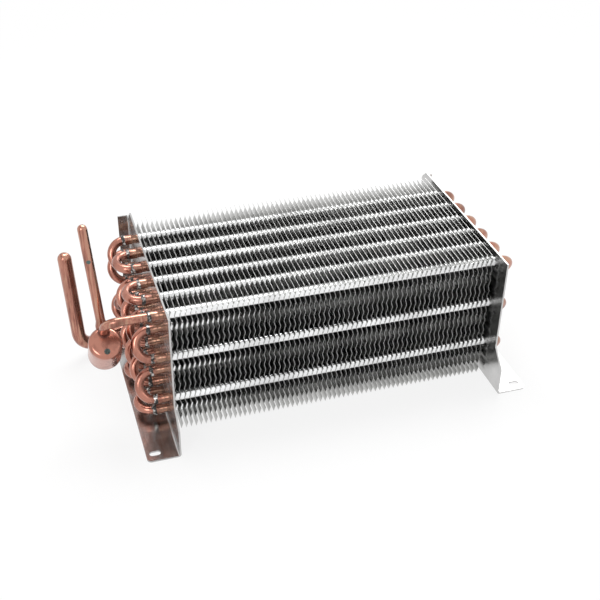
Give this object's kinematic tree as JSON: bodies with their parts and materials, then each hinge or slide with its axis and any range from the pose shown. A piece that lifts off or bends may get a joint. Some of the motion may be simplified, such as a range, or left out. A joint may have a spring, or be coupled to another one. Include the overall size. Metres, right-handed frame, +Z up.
{
  "type": "evaporator coil",
  "caption": "Finned refrigeration evaporator: wavy aluminium fins on staggered copper hairpin tubes between two footed end plates, with a small header and two capped pipe stubs.",
  "frame": {"origin": "middle of the four mounting slots, on the plane that the feet stand on", "axes": "+X along the tubes away from the return bends, +Y from the front to the back of the pack, +Z up"},
  "size_m": [0.4036, 0.2074, 0.205],
  "materials": {
    "plate": "smooth mill finish sheet",
    "fin": "bright thin sheet",
    "copper": "bare copper tube, slightly heat stained",
    "bend_copper": "bare copper tube, satin",
    "header_copper": "spun copper, darkened by brazing",
    "pipe_copper": "bare copper pipe, darkened by handling",
    "braze": "dull grey braze metal and flux",
    "plug": "dark solder"
  },
  "bodies": {
    "root": {"left_end_plate": "plate", "right_end_plate": "plate", "fins_1": "fin", "fins_2": "fin", "fins_3": "fin", "fins_4": "fin", "fins_5": "fin", "fins_6": "fin", "hairpin_01": "copper", "hairpin_02": "copper", "hairpin_03": "copper", "hairpin_04": "copper", "hairpin_05": "copper", "hairpin_06": "copper", "hairpin_07": "copper", "hairpin_08": "copper", "hairpin_09": "copper", "hairpin_10": "copper", "hairpin_11": "copper", "hairpin_12": "copper", "hairpin_13": "copper", "hairpin_14": "copper", "hairpin_15": "copper", "hairpin_16": "copper", "hairpin_17": "copper", "hairpin_18": "copper", "return_bend_01": "bend_copper", "return_bend_02": "bend_copper", "return_bend_03": "bend_copper", "return_bend_04": "bend_copper", "return_bend_05": "bend_copper", "return_bend_06": "bend_copper", "return_bend_07": "bend_copper", "return_bend_08": "bend_copper", "return_bend_09": "bend_copper", "return_bend_10": "bend_copper", "return_bend_11": "bend_copper", "return_bend_12": "bend_copper", "return_bend_13": "bend_copper", "return_bend_14": "bend_copper", "return_bend_15": "bend_copper", "return_bend_16": "bend_copper", "return_bend_17": "bend_copper", "braze_rings": "braze", "header_shell": "header_copper", "header_plug": "plug", "feed_pipe": "pipe_copper", "outlet_stub": "pipe_copper", "inlet_pipe": "pipe_copper"}
  },
  "joints": []
}
